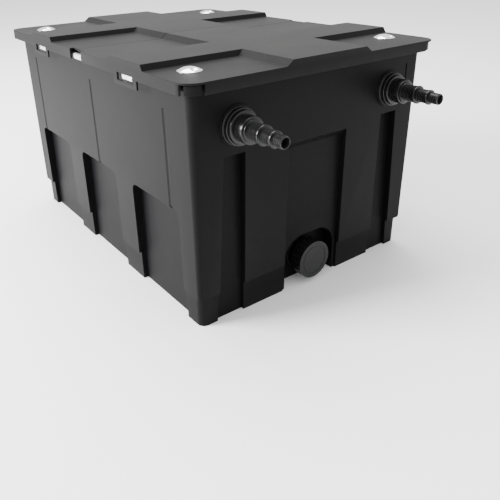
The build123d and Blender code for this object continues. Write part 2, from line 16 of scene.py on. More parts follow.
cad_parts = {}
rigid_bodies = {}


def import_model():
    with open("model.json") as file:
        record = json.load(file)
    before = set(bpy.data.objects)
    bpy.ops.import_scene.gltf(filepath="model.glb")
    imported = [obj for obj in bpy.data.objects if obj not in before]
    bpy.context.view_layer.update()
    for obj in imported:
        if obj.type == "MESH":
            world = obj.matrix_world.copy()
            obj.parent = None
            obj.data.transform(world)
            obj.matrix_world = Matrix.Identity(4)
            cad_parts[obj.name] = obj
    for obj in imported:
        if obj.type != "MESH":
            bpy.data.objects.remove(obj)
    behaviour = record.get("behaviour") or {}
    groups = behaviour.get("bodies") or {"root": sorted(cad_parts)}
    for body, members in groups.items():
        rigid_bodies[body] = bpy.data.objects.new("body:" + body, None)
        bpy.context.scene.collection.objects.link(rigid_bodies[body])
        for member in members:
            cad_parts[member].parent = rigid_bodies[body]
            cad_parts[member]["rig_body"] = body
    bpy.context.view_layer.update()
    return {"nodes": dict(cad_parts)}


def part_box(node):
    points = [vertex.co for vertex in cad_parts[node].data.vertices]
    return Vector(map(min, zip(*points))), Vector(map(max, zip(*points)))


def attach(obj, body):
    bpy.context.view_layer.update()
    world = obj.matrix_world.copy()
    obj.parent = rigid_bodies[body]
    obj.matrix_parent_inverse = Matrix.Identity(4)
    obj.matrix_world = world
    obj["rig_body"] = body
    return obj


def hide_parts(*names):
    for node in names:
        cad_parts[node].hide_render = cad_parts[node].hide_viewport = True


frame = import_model()
MM = 0.001

# %% [markdown]
# ## Small tools for the workbench
# Operators act on whatever is selected, so each step first clears the selection and then picks the
# one object it means to change. Every finished piece keeps its place in its mesh, with its object
# at the origin, because patterns on Object coordinates would slide otherwise.

# %% Picking, editing and finishing


def pick(piece):
    """Selects one object and nothing else."""
    if bpy.context.object and bpy.context.object.mode != "OBJECT":
        bpy.ops.object.mode_set(mode="OBJECT")
    bpy.ops.object.select_all(action="DESELECT")
    piece.select_set(True)
    bpy.context.view_layer.objects.active = piece
    return piece


def start_editing(piece):
    pick(piece)
    bpy.ops.object.mode_set(mode="EDIT")
    bpy.ops.mesh.select_all(action="SELECT")


def stop_editing():
    bpy.ops.object.mode_set(mode="OBJECT")


def place_in_mesh(piece):
    """Moves the object's place, turn and size into its mesh."""
    pick(piece)
    bpy.ops.object.transform_apply(location=True, rotation=True, scale=True)


def apply_modifier(piece, kind, **settings):
    pick(piece)
    modifier = piece.modifiers.new(kind.title(), kind)
    for name, value in settings.items():
        setattr(modifier, name, value)
    bpy.ops.object.modifier_apply(modifier=modifier.name)


def face_outwards(piece, merge=0.01 * MM):
    start_editing(piece)
    bpy.ops.mesh.remove_doubles(threshold=merge)
    bpy.ops.mesh.normals_make_consistent(inside=False)
    stop_editing()


def smooth(piece, degrees=35):
    pick(piece)
    bpy.ops.object.shade_smooth_by_angle(angle=math.radians(degrees))


def body_of(node):
    return frame["nodes"][node]["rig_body"]


def install(piece, material, slot, *nodes):
    """Gives a piece its finish and lets it stand for its CAD nodes, on their body."""
    piece.data.materials.clear()
    piece.data.materials.append(material)
    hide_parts(*nodes)
    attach(piece, body_of(nodes[0]))
    print(piece.name, len(piece.data.polygons), "faces, stands for", ", ".join(nodes))
    return piece


# %% [markdown]
# ## The camera, the floor and the light
# The box is seen from its front left corner, a little above the lid. Most of the light comes from
# one large lamp on the left, which gives the long wall its grey sheen and leaves the front wall
# nearly black. A softer lamp overhead lights the lid, and the pale room fills the shadows.

# %% Camera
camera_data = bpy.data.cameras.new("camera")
camera_data.sensor_width = 36.0
camera_data.lens = 41.63
camera_data.shift_x = 0.0536
camera_data.shift_y = -0.16
camera_data.clip_end = 60.0
camera = bpy.data.objects.new("camera", camera_data)
camera.location = (-0.7175, -1.069, 0.6346)
camera.rotation_euler = [math.radians(angle) for angle in (68.31, 1.31, -36.25)]
bpy.context.scene.collection.objects.link(camera)
bpy.context.scene.camera = camera

# %% Floor and light


def simple_material(name, colour, roughness):
    material = bpy.data.materials.new(name)
    material.use_nodes = True
    shader = material.node_tree.nodes["Principled BSDF"]
    shader.inputs["Base Color"].default_value = (*colour, 1)
    shader.inputs["Roughness"].default_value = roughness
    return material


bpy.ops.object.select_all(action="DESELECT")
bpy.ops.mesh.primitive_plane_add(size=40.0, location=(0, 0, 0))
floor = bpy.context.object
floor.name = "floor"
place_in_mesh(floor)
floor.data.materials.append(simple_material("pale_floor", (0.9, 0.9, 0.9), 0.6))

world = bpy.data.worlds.new("room")
world.use_nodes = True
world.node_tree.nodes["Background"].inputs["Color"].default_value = (1.0, 1.0, 1.0, 1)
world.node_tree.nodes["Background"].inputs["Strength"].default_value = 1.7
bpy.context.scene.world = world


def softbox(name, place, aim, size, power):
    """A square area light at a place, turned to face a point."""
    data = bpy.data.lights.new(name, "AREA")
    data.size = size
    data.energy = power
    light = bpy.data.objects.new(name, data)
    light.location = place
    direction = Vector(aim) - Vector(place)
    light.rotation_euler = direction.to_track_quat("-Z", "Y").to_euler()
    bpy.context.scene.collection.objects.link(light)
    return light


softbox("left_window", (-3.0, 1.2, 1.7), (0, 0, 0.2), 1.6, 520.0)
softbox("overhead", (0.2, 0.9, 3.2), (0, 0, 0.3), 2.2, 150.0)

# %% [markdown]
# ## Shared surface effects
# Three effects turn up on more than one finish: the fine grain of a moulding tool, the worn and
# slightly paler edges, and a thin bloom of dust on what faces up. Each is a node group that is
# built once. A group only puts out masks and heights, and each material uses them in its own way.

# %% Node helpers


def add_node(tree, kind, inputs=None, **settings):
    made = tree.nodes.new(kind)
    for name, value in settings.items():
        setattr(made, name, value)
    for name, value in (inputs or {}).items():
        made.inputs[name].default_value = value
    return made


def new_group(name, inputs, outputs):
    """An empty shader group with named sockets, its input node and its output node."""
    group = bpy.data.node_groups.new(name, "ShaderNodeTree")
    for socket, kind, value in inputs:
        made = group.interface.new_socket(socket, in_out="INPUT", socket_type=kind)
        if value is not None:
            made.default_value = value
    for socket in outputs:
        group.interface.new_socket(socket, in_out="OUTPUT", socket_type="NodeSocketFloat")
    return group, group.nodes.new("NodeGroupInput"), group.nodes.new("NodeGroupOutput")


def build_grain():
    """Tool grain: small pits, finer speckle, and broad waves where thick plastic shrank."""
    inputs = [
        ("Vector", "NodeSocketVector", None),
        ("Grain Scale", "NodeSocketFloat", 900.0),
        ("Wave Scale", "NodeSocketFloat", 7.0),
    ]
    group, source, result = new_group("Moulded grain", inputs, ("Height", "Waves", "Speckle"))
    pits = add_node(group, "ShaderNodeTexVoronoi", feature="SMOOTH_F1")
    speckle = add_node(group, "ShaderNodeTexNoise", {"Detail": 4.0, "Roughness": 0.7})
    waves = add_node(group, "ShaderNodeTexNoise", {"Detail": 2.0, "Roughness": 0.45})
    mixed = add_node(group, "ShaderNodeMath", operation="MULTIPLY_ADD")
    mixed.inputs[1].default_value = 0.6
    for texture, scale in ((pits, "Grain Scale"), (speckle, "Grain Scale"), (waves, "Wave Scale")):
        group.links.new(source.outputs["Vector"], texture.inputs["Vector"])
        group.links.new(source.outputs[scale], texture.inputs["Scale"])
    group.links.new(pits.outputs["Distance"], mixed.inputs[0])
    group.links.new(speckle.outputs["Fac"], mixed.inputs[2])
    group.links.new(mixed.outputs["Value"], result.inputs["Height"])
    group.links.new(waves.outputs["Fac"], result.inputs["Waves"])
    group.links.new(speckle.outputs["Fac"], result.inputs["Speckle"])
    return group


def build_wear():
    """Edge wear: where the surface is pointed outwards, broken up by noise."""
    inputs = [
        ("Vector", "NodeSocketVector", None),
        ("Scale", "NodeSocketFloat", 60.0),
        ("From", "NodeSocketFloat", 0.53),
        ("To", "NodeSocketFloat", 0.62),
    ]
    group, source, result = new_group("Edge wear", inputs, ("Mask",))
    shape = add_node(group, "ShaderNodeNewGeometry")
    broken = add_node(group, "ShaderNodeTexNoise", {"Detail": 5.0, "Roughness": 0.65})
    pointed = add_node(group, "ShaderNodeMapRange", clamp=True)
    mask = add_node(group, "ShaderNodeMath", operation="MULTIPLY")
    group.links.new(source.outputs["Vector"], broken.inputs["Vector"])
    group.links.new(source.outputs["Scale"], broken.inputs["Scale"])
    group.links.new(shape.outputs["Pointiness"], pointed.inputs["Value"])
    group.links.new(source.outputs["From"], pointed.inputs["From Min"])
    group.links.new(source.outputs["To"], pointed.inputs["From Max"])
    group.links.new(pointed.outputs["Result"], mask.inputs[0])
    group.links.new(broken.outputs["Fac"], mask.inputs[1])
    group.links.new(mask.outputs["Value"], result.inputs["Mask"])
    return group


def build_dust():
    """Settled dust: strongest on faces that look up, in soft uneven patches."""
    inputs = [("Vector", "NodeSocketVector", None), ("Scale", "NodeSocketFloat", 9.0)]
    group, source, result = new_group("Settled dust", inputs, ("Mask",))
    shape = add_node(group, "ShaderNodeNewGeometry")
    split = add_node(group, "ShaderNodeSeparateXYZ")
    up = add_node(group, "ShaderNodeMapRange", {"From Min": 0.3, "From Max": 1.0}, clamp=True)
    patches = add_node(group, "ShaderNodeTexNoise", {"Detail": 6.0, "Roughness": 0.6})
    mask = add_node(group, "ShaderNodeMath", operation="MULTIPLY")
    group.links.new(source.outputs["Vector"], patches.inputs["Vector"])
    group.links.new(source.outputs["Scale"], patches.inputs["Scale"])
    group.links.new(shape.outputs["Normal"], split.inputs["Vector"])
    group.links.new(split.outputs["Z"], up.inputs["Value"])
    group.links.new(up.outputs["Result"], mask.inputs[0])
    group.links.new(patches.outputs["Fac"], mask.inputs[1])
    group.links.new(mask.outputs["Value"], result.inputs["Mask"])
    return group


GRAIN = build_grain()
WEAR = build_wear()
DUST = build_dust()

# %% [markdown]
# ## Plastics
# The tank and lid are polyethylene, dull and slightly waxy. The fittings are a harder, shinier
# plastic. One function makes them all, because they differ only in colour, gloss and grain.

# %% Moulded plastic


def use_group(tree, group, coordinates, **values):
    made = add_node(tree, "ShaderNodeGroup", node_tree=group)
    tree.links.new(coordinates.outputs["Object"], made.inputs["Vector"])
    for name, value in values.items():
        made.inputs[name.replace("_", " ").title()].default_value = value
    return made


def blend_colour(tree, mask, low, high):
    """A colour between low and high, by a mask."""
    mix = add_node(tree, "ShaderNodeMix", data_type="RGBA")
    for socket, value in (("A", low), ("B", high)):
        colour = [s for s in mix.inputs if s.name == socket and s.type == "RGBA"][0]
        if isinstance(value, bpy.types.NodeSocket):
            tree.links.new(value, colour)
        else:
            colour.default_value = (*value, 1)
    tree.links.new(mask, mix.inputs[0])
    return [s for s in mix.outputs if s.type == "RGBA"][0]


def map_range(tree, value, low, high, from_low=0.0, from_high=1.0):
    ranged = add_node(tree, "ShaderNodeMapRange", clamp=True)
    for name, number in (("From Min", from_low), ("From Max", from_high), ("To Min", low), ("To Max", high)):
        ranged.inputs[name].default_value = number
    tree.links.new(value, ranged.inputs["Value"])
    return ranged.outputs["Result"]


def add_bump(tree, shader, heights):
    """Chains bumps, broad ones first: (height socket, strength, distance in metres)."""
    normal = None
    for height, strength, distance in heights:
        bump = add_node(tree, "ShaderNodeBump", {"Strength": strength, "Distance": distance})
        tree.links.new(height, bump.inputs["Height"])
        if normal is not None:
            tree.links.new(normal, bump.inputs["Normal"])
        normal = bump.outputs["Normal"]
    tree.links.new(normal, shader.inputs["Normal"])


def start_material(name, specular=0.5):
    material = bpy.data.materials.new(name)
    material.use_nodes = True
    tree = material.node_tree
    shader = tree.nodes["Principled BSDF"]
    shader.inputs["Specular IOR Level"].default_value = specular
    return material, tree, shader, add_node(tree, "ShaderNodeTexCoord")


def moulded_plastic(name, dark, pale, gloss, grain=900.0, depth=0.05, dusty=0.3, specular=0.5):
    """gloss is the lowest and highest roughness; depth the strength of the grain."""
    material, tree, shader, place = start_material(name, specular)
    surface = use_group(tree, GRAIN, place, grain_scale=grain)
    wear = use_group(tree, WEAR, place)
    dust = use_group(tree, DUST, place)
    colour = blend_colour(tree, surface.outputs["Waves"], dark, pale)
    worn = tuple(min(1.0, channel * 2.2 + 0.01) for channel in pale)
    colour = blend_colour(tree, wear.outputs["Mask"], colour, worn)
    settled = map_range(tree, dust.outputs["Mask"], 0.0, dusty, 0.25, 0.75)
    colour = blend_colour(tree, settled, colour, (0.16, 0.155, 0.145))
    tree.links.new(colour, shader.inputs["Base Color"])
    rough = map_range(tree, surface.outputs["Speckle"], gloss[0], gloss[1], 0.3, 0.7)
    tree.links.new(rough, shader.inputs["Roughness"])
    add_bump(
        tree,
        shader,
        [
            (surface.outputs["Waves"], 0.25, 2.0 * MM),
            (surface.outputs["Height"], depth, 0.25 * MM),
        ],
    )
    return material


TANK_PLASTIC = moulded_plastic(
    "tank_plastic", (0.0028, 0.0026, 0.003), (0.0045, 0.0042, 0.0047), (0.42, 0.52),
    dusty=0.008, specular=0.06,
)
LID_PLASTIC = moulded_plastic(
    "lid_plastic", (0.003, 0.003, 0.0032), (0.005, 0.005, 0.0052), (0.44, 0.55), depth=0.08,
    dusty=0.04, specular=0.08,
)
FITTING_PLASTIC = moulded_plastic(
    "fitting_plastic", (0.003, 0.003, 0.0033), (0.005, 0.005, 0.0055), (0.2, 0.3),
    grain=1600.0, depth=0.03, dusty=0.02, specular=0.3,
)
INNER_PLASTIC = moulded_plastic(
    "inner_plastic", (0.05, 0.055, 0.06), (0.075, 0.08, 0.085), (0.35, 0.5), dusty=0.1
)

# %% [markdown]
# ## Metal, rubber and media finishes
# The lid knobs carry bright plating over plastic. The catches are zinc plated and brushed along
# their length. Foam and fibre are rough and full of holes: bump, with painted shade in the holes.

# %% Bright plating


def bright_plating():
    material, tree, shader, place = start_material("knob_chrome")
    shader.inputs["Metallic"].default_value = 1.0
    surface = use_group(tree, GRAIN, place, grain_scale=2600.0, wave_scale=60.0)
    colour = blend_colour(tree, surface.outputs["Waves"], (0.86, 0.86, 0.87), (0.93, 0.93, 0.93))
    tree.links.new(colour, shader.inputs["Base Color"])
    rough = map_range(tree, surface.outputs["Speckle"], 0.06, 0.16, 0.3, 0.75)
    tree.links.new(rough, shader.inputs["Roughness"])
    add_bump(tree, shader, [(surface.outputs["Waves"], 0.06, 0.5 * MM)])
    return material


def brushed_zinc():
    """Fine scratches run along Y: noise stretched a hundredfold that way."""
    material, tree, shader, place = start_material("catch_metal")
    shader.inputs["Metallic"].default_value = 1.0
    shader.inputs["Base Color"].default_value = (0.78, 0.78, 0.79, 1)
    stretch = add_node(tree, "ShaderNodeMapping")
    stretch.inputs["Scale"].default_value = (1800.0, 18.0, 1800.0)
    scratches = add_node(tree, "ShaderNodeTexNoise", {"Scale": 1.0, "Detail": 3.0})
    tree.links.new(place.outputs["Object"], stretch.inputs["Vector"])
    tree.links.new(stretch.outputs["Vector"], scratches.inputs["Vector"])
    rough = map_range(tree, scratches.outputs["Fac"], 0.24, 0.42, 0.3, 0.7)
    tree.links.new(rough, shader.inputs["Roughness"])
    add_bump(tree, shader, [(scratches.outputs["Fac"], 0.2, 0.05 * MM)])
    return material


def open_foam(name, dark, pale, pore):
    """Open-cell foam: round pores of one size, with painted shade where the cells go deep."""
    material, tree, shader, place = start_material(name, specular=0.2)
    shader.inputs["Roughness"].default_value = 0.9
    shader.inputs["Sheen Weight"].default_value = 0.25
    cells = add_node(tree, "ShaderNodeTexVoronoi", {"Scale": 1.0 / pore})
    mottle = add_node(tree, "ShaderNodeTexNoise", {"Scale": 25.0, "Detail": 3.0})
    for texture in (cells, mottle):
        tree.links.new(place.outputs["Object"], texture.inputs["Vector"])
    # Pore centres dark, cell walls pale: the dark is painted shade in holes that are only bump.
    cell_walls_and_pore_shade = map_range(tree, cells.outputs["Distance"], 0.0, 1.0, 0.15, 0.6)
    colour = blend_colour(tree, cell_walls_and_pore_shade, dark, pale)
    shade = blend_colour(tree, mottle.outputs["Fac"], dark, pale)
    mixed = blend_colour(tree, cell_walls_and_pore_shade, shade, colour)
    tree.links.new(mixed, shader.inputs["Base Color"])
    add_bump(tree, shader, [(cell_walls_and_pore_shade, 0.9, pore * 0.6)])
    return material


def rubber(name):
    material, tree, shader, place = start_material(name, specular=0.3)
    surface = use_group(tree, GRAIN, place, grain_scale=1400.0)
    colour = blend_colour(tree, surface.outputs["Speckle"], (0.012, 0.012, 0.012), (0.03, 0.03, 0.03))
    tree.links.new(colour, shader.inputs["Base Color"])
    rough = map_range(tree, surface.outputs["Speckle"], 0.65, 0.85, 0.3, 0.7)
    tree.links.new(rough, shader.inputs["Roughness"])
    add_bump(tree, shader, [(surface.outputs["Height"], 0.12, 0.2 * MM)])
    return material


def ceramic():
    material, tree, shader, place = start_material("ceramic_net", specular=0.3)
    surface = use_group(tree, GRAIN, place, grain_scale=1200.0, wave_scale=70.0)
    colour = blend_colour(tree, surface.outputs["Waves"], (0.55, 0.5, 0.42), (0.8, 0.78, 0.72))
    tree.links.new(colour, shader.inputs["Base Color"])
    shader.inputs["Roughness"].default_value = 0.85
    add_bump(tree, shader, [(surface.outputs["Height"], 0.5, 0.3 * MM)])
    return material


KNOB_CHROME = bright_plating()
CATCH_ZINC = brushed_zinc()
SEAL_RUBBER = rubber("seal_rubber")
COARSE_FOAM = open_foam("coarse_foam", (0.01, 0.04, 0.12), (0.05, 0.16, 0.42), 3.2 * MM)
FINE_FOAM = open_foam("fine_foam", (0.13, 0.015, 0.012), (0.5, 0.09, 0.07), 1.9 * MM)
MAT_FIBRE = open_foam("mat_fibre", (0.01, 0.035, 0.025), (0.08, 0.2, 0.16), 2.6 * MM)
CERAMIC = ceramic()
BALL_PLASTIC = moulded_plastic("ball_net", (0.03, 0.03, 0.033), (0.05, 0.05, 0.055), (0.3, 0.4))
NET_CORD = moulded_plastic("net_cord", (0.02, 0.06, 0.03), (0.03, 0.09, 0.05), (0.5, 0.6))

# %% [markdown]
# ## Mouldings with soft edges
# A moulded box has no knife edges: the tool rounds every corner so that the plastic can flow and
# the part can leave it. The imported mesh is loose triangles, so a copy of it is merged, its flat
# areas are joined into single faces, and a bevel rolls every sharp edge. That keeps each size.

# %% Soft copy of a CAD node
FLAT_ANGLE = math.radians(0.6)


def soft_copy(node, name, width, segments=2, sharp=30):
    mesh = frame["nodes"][node].data.copy()
    piece = bpy.data.objects.new(name, mesh)
    bpy.context.scene.collection.objects.link(piece)
    start_editing(piece)
    bpy.ops.mesh.customdata_custom_splitnormals_clear()
    bpy.ops.mesh.remove_doubles(threshold=0.005 * MM)
    bpy.ops.mesh.dissolve_limited(angle_limit=FLAT_ANGLE)
    stop_editing()
    apply_modifier(
        piece,
        "BEVEL",
        width=width,
        segments=segments,
        limit_method="ANGLE",
        angle_limit=math.radians(sharp),
        use_clamp_overlap=False,
    )
    smooth(piece, 40)
    apply_modifier(piece, "WEIGHTED_NORMAL", weight=50, keep_sharp=True)
    return piece


# %% Tank and lid
tank = soft_copy("tank", "tank_shell", 0.7 * MM)
install(tank, TANK_PLASTIC, "tank_plastic", "tank")
for half in ("front", "rear"):
    lid = soft_copy(f"lid_{half}", f"lid_shell_{half}", 0.7 * MM)
    install(lid, LID_PLASTIC, "lid_plastic", f"lid_{half}")

# %% Knobs, catches, nuts, dividers and grids
for corner in ("front_left", "front_right", "rear_left", "rear_right"):
    knob = soft_copy(f"lid_knob_{corner}", f"plated_knob_{corner}", 0.5 * MM, segments=2)
    install(knob, KNOB_CHROME, "knob_chrome", f"lid_knob_{corner}")
SOFT_NODES = (
    ("side_catches", CATCH_ZINC, "catch_metal", 0.6),
    ("middle_catches", CATCH_ZINC, "catch_metal", 0.6),
    ("inlet_left_lock_nut", FITTING_PLASTIC, "fitting_plastic", 0.8),
    ("inlet_right_lock_nut", FITTING_PLASTIC, "fitting_plastic", 0.8),
    ("drain_lock_nut", FITTING_PLASTIC, "fitting_plastic", 0.8),
    ("drain_cap", FITTING_PLASTIC, "fitting_plastic", 0.5),
    ("outlet_lock_nut", FITTING_PLASTIC, "fitting_plastic", 0.8),
    ("front_divider", INNER_PLASTIC, "inner_plastic", 0.5),
    ("rear_divider", INNER_PLASTIC, "inner_plastic", 0.5),
    ("cartridge_grid", INNER_PLASTIC, "inner_plastic", 0.5),
    ("mat_grid", INNER_PLASTIC, "inner_plastic", 0.5),
    ("media_grid", INNER_PLASTIC, "inner_plastic", 0.5),
    ("rim_seal", SEAL_RUBBER, "seal_rubber", 0.8),
    ("knob_sockets", SEAL_RUBBER, "seal_rubber", 0.6),
    ("inlet_left_gasket", SEAL_RUBBER, "seal_rubber", 0.3),
    ("inlet_right_gasket", SEAL_RUBBER, "seal_rubber", 0.3),
    ("drain_gasket", SEAL_RUBBER, "seal_rubber", 0.3),
    ("drain_cap_seal", SEAL_RUBBER, "seal_rubber", 0.3),
    ("outlet_gasket", SEAL_RUBBER, "seal_rubber", 0.3),
)
for node, material, slot, width in SOFT_NODES:
    install(soft_copy(node, f"{node}_finished", width * MM), material, slot, node)

# %% [markdown]
# ## Turned fittings
# A hose tail is a body of revolution, like work on a lathe: its outline is drawn as stations along
# the axis, each a distance and a radius. The piece starts as one circle, which is extruded to each
# station in turn and scaled to its radius. Going out along the outside and back down the bore
# closes the wall, and merging the first and last circle seals the seam.

# %% A lathe made of extrusions


def turned(name, x, z, stations, sides=72):
    """A hollow fitting about the line along Y through (x, z); stations are (y, radius)."""
    bpy.ops.object.select_all(action="DESELECT")
    y, radius = stations[0]
    bpy.ops.mesh.primitive_circle_add(
        vertices=sides, radius=radius, location=(x, y, z), rotation=(math.pi / 2, 0, 0)
    )
    piece = bpy.context.object
    piece.name = name
    start_editing(piece)
    for next_y, next_radius in stations[1:] + stations[:1]:
        bpy.ops.mesh.extrude_region_move(TRANSFORM_OT_translate={"value": (0, next_y - y, 0)})
        ratio = next_radius / radius
        bpy.ops.transform.resize(value=(ratio, 1, ratio), center_override=(x, next_y, z))
        y, radius = next_y, next_radius
    stop_editing()
    place_in_mesh(piece)
    face_outwards(piece)
    smooth(piece, 40)
    return piece


def rounded(y0, y1, radius, soft):
    """Stations of a plain cylinder from y0 to y1 whose two ends are rolled over by soft."""
    way = 1 if y1 > y0 else -1
    return [
        (y0, radius - soft),
        (y0 + way * soft * 0.3, radius - soft * 0.3),
        (y0 + way * soft, radius),
        (y1 - way * soft, radius),
        (y1 - way * soft * 0.3, radius - soft * 0.3),
        (y1, radius - soft),
    ]


def ridges(y0, y1, radius, count, depth):
    """Saw-tooth ridges between y0 and y1, steep on the side that faces the tank."""
    pitch = (y1 - y0) / count
    made = []
    for index in range(count):
        start = y0 + index * pitch
        low = radius - depth
        made += [(start, radius), (start + 0.08 * pitch, low), (start + 0.25 * pitch, low)]
    return made + [(y1, radius)]


# %% Hose tails, collars and flanges
STEPS = ((17.0 * MM, 27.0 * MM, 7), (14.0 * MM, 25.0 * MM, 6), (10.5 * MM, 20.0 * MM, 5))
TAIL_LENGTH = sum(length for radius, length, count in STEPS)
LIP = 3.5 * MM
PROUD = 1.2 * MM
TAIL_WALL = 2.6 * MM
NECK = 15.8 * MM
NECK_BORE = 13.2 * MM
SPIGOT = 18.5 * MM
RIM = 19.5 * MM
COLLAR = 23.0 * MM
COLLAR_LIP = 2.6 * MM
RING = 28.5 * MM
FLANGE = 31.5 * MM
THREAD = 22.0 * MM
for side in ("left", "right"):
    low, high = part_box(f"inlet_{side}_hose_tail")
    x, z = (low.x + high.x) / 2, (low.z + high.z) / 2
    rim = low.y + TAIL_LENGTH
    collar_low, collar_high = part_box(f"inlet_{side}_collar")
    flange_low, flange_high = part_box(f"inlet_{side}_flange")

    stations = rounded(high.y, high.y - 3 * MM, 18.2 * MM, 0.4 * MM)
    stations += [(high.y - 3 * MM, NECK), (collar_low.y - 0.3 * MM, NECK)]
    stations += rounded(collar_low.y - 0.3 * MM, rim, RIM, 0.7 * MM)
    start = rim
    bores = [(high.y, NECK_BORE)]
    for number, (radius, length, count) in enumerate(STEPS, start=1):
        end = start - length
        if number == len(STEPS):
            stations += ridges(start, end + 1.5 * MM, radius, count, 0.5 * MM)
            stations += [(end, radius - 1.2 * MM), (end, radius - TAIL_WALL + 0.6 * MM)]
            bores += [(end + 0.8 * MM, radius - TAIL_WALL)]
        else:
            body = radius - PROUD
            stations += ridges(start, end + LIP, body, count, 0.5 * MM)
            stations += rounded(end + LIP, end, radius, 0.7 * MM)
            inner = STEPS[number][0] - TAIL_WALL - (0 if number + 1 == len(STEPS) else PROUD)
            bores += [(end + TAIL_WALL, body - TAIL_WALL), (end + TAIL_WALL, inner)]
        start = end
    tail = turned(f"stepped_tail_{side}", x, z, stations + bores[::-1])
    install(tail, FITTING_PLASTIC, "fitting_plastic", f"inlet_{side}_hose_tail")

    lip, opening = collar_low.y + COLLAR_LIP, NECK + 0.3 * MM
    wide = SPIGOT + 0.05 * MM
    stations = rounded(collar_high.y, collar_low.y, COLLAR, 1.0 * MM)
    stations += [(collar_low.y, opening), (lip, opening), (lip, wide), (collar_high.y, wide)]
    collar = turned(f"union_collar_{side}", x, z, stations)
    install(collar, FITTING_PLASTIC, "fitting_plastic", f"inlet_{side}_collar")

    back = flange_high.y
    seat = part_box(f"inlet_{side}_gasket")[0].y
    stations = ridges(back, seat + 9 * MM, THREAD, 8, 0.8 * MM)
    stations += [(seat, THREAD)] + rounded(seat, seat - 7.5 * MM, FLANGE, 1.2 * MM)
    stations += [(seat - 7.5 * MM, 29.4 * MM), (seat - 6.9 * MM, 29.0 * MM)]
    stations += [(seat - 6.9 * MM, RING), (seat - 12.3 * MM, RING)]
    stations += [(seat - 13.1 * MM, 28.1 * MM), (seat - 13.5 * MM, 27.2 * MM)]
    stations += [(seat - 13.5 * MM, SPIGOT), (flange_low.y, SPIGOT)]
    stations += [(flange_low.y, 13.5 * MM), (back, 13.5 * MM)]
    flange = turned(f"wall_flange_{side}", x, z, stations)
    install(flange, FITTING_PLASTIC, "fitting_plastic", f"inlet_{side}_flange")

# %% Drain spout and outlet
low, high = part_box("drain_spout")
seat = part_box("drain_gasket")[0].y
stations = ridges(low.y, seat - 5 * MM, 27.0 * MM, 8, 0.9 * MM)
stations += [(seat - 4 * MM, 27.0 * MM)] + rounded(seat - 4 * MM, seat, 34.0 * MM, 0.8 * MM)
stations += [(seat, 27.0 * MM), (high.y, 27.0 * MM), (high.y, 22.0 * MM), (low.y, 22.0 * MM)]
spout = turned("threaded_spout", 0, (low.z + high.z) / 2, stations)
install(spout, FITTING_PLASTIC, "fitting_plastic", "drain_spout")

low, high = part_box("outlet_spigot")
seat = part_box("outlet_gasket")[1].y
stations = ridges(low.y, seat - 12 * MM, 40.0 * MM, 8, 0.9 * MM)
stations += [(seat, 40.0 * MM)] + rounded(seat, seat + 6 * MM, 55.0 * MM, 1.2 * MM)
stations += [(seat + 6 * MM, 39.0 * MM), (seat + 8 * MM, 37.5 * MM), (high.y - 3 * MM, 37.5 * MM)]
stations += [(high.y, 36.0 * MM), (high.y, 34.6 * MM), (high.y - MM, 34.0 * MM), (low.y, 34.0 * MM)]
spigot = turned("outlet_pipe", 0, (low.z + high.z) / 2, stations, sides=96)
install(spigot, FITTING_PLASTIC, "fitting_plastic", "outlet_spigot")

# %% [markdown]
# ## Foam, mats and media
# These show only with the lid off. A foam block is cut with a hot wire, so its faces wander a
# little: a cube is subdivided and its points are moved by a few tenths of a millimetre of noise.
# The fibre mats carry loose curls that stand out of their faces.

# %% Foam blocks


NOISE_SEED = 7


def wander(piece, amount, scale):
    """Moves every point by smooth noise, so that flat faces lose their perfect flatness.

    The noise is seeded each time; otherwise it would come from the clock and differ every run.
    """
    noise.seed_set(NOISE_SEED)
    for vertex in piece.data.vertices:
        vertex.co += noise.noise_vector(vertex.co * scale) * amount


def foam_block(name, node, corner, cuts, amount):
    low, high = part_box(node)
    inset = Vector((amount, amount, amount))
    low, high = low + inset, high - inset
    bpy.ops.object.select_all(action="DESELECT")
    bpy.ops.mesh.primitive_cube_add(size=1.0, location=(low + high) / 2)
    piece = bpy.context.object
    piece.name = name
    piece.scale = high - low
    place_in_mesh(piece)
    start_editing(piece)
    bpy.ops.mesh.bevel(offset=corner, segments=3, affect="EDGES")
    stop_editing()
    apply_modifier(piece, "REMESH", mode="VOXEL", voxel_size=cuts)
    wander(piece, amount, 45.0)
    smooth(piece, 60)
    return piece


for index in range(4):
    node = f"foam_cartridge_{index + 1}"
    kind = ("coarse_foam", COARSE_FOAM) if index % 2 == 0 else ("fine_foam", FINE_FOAM)
    foam = foam_block(f"foam_block_{index + 1}", node, 9 * MM, 4 * MM, 0.8 * MM)
    install(foam, kind[1], kind[0], node)

# %% Fibre mats


def curl(start, radius, turn, tilt, points=7):
    """Points of one loose fibre: part of a circle that leans away from the mat."""
    made = []
    for index in range(points):
        angle = turn + index / (points - 1) * math.pi * 1.3
        rise = radius * tilt * math.sin(angle * 0.7)
        made.append(start + Vector((radius * math.cos(angle), radius * math.sin(angle), rise)))
    return made


def fibre_layer(name, node, count, seed):
    """Curled fibres on the top of a mat, as one mesh."""
    rng = random.Random(seed)
    low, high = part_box(node)
    curve = bpy.data.curves.new(name, "CURVE")
    curve.dimensions = "3D"
    curve.bevel_depth = 0.35 * MM
    curve.bevel_resolution = 0
    inset = 7 * MM
    for _ in range(count):
        start = Vector((
            rng.uniform(low.x + inset, high.x - inset),
            rng.uniform(low.y + inset, high.y - inset),
            high.z - 2.2 * MM,
        ))
        points = curl(start, rng.uniform(2, 5) * MM, rng.uniform(0, 2 * math.pi), rng.uniform(0.1, 0.4))
        spline = curve.splines.new("POLY")
        spline.points.add(len(points) - 1)
        for target, point in zip(spline.points, points):
            target.co = (*point, 1)
    layer = bpy.data.objects.new(name, curve)
    bpy.context.scene.collection.objects.link(layer)
    pick(layer)
    bpy.ops.object.convert(target="MESH")
    return bpy.context.object


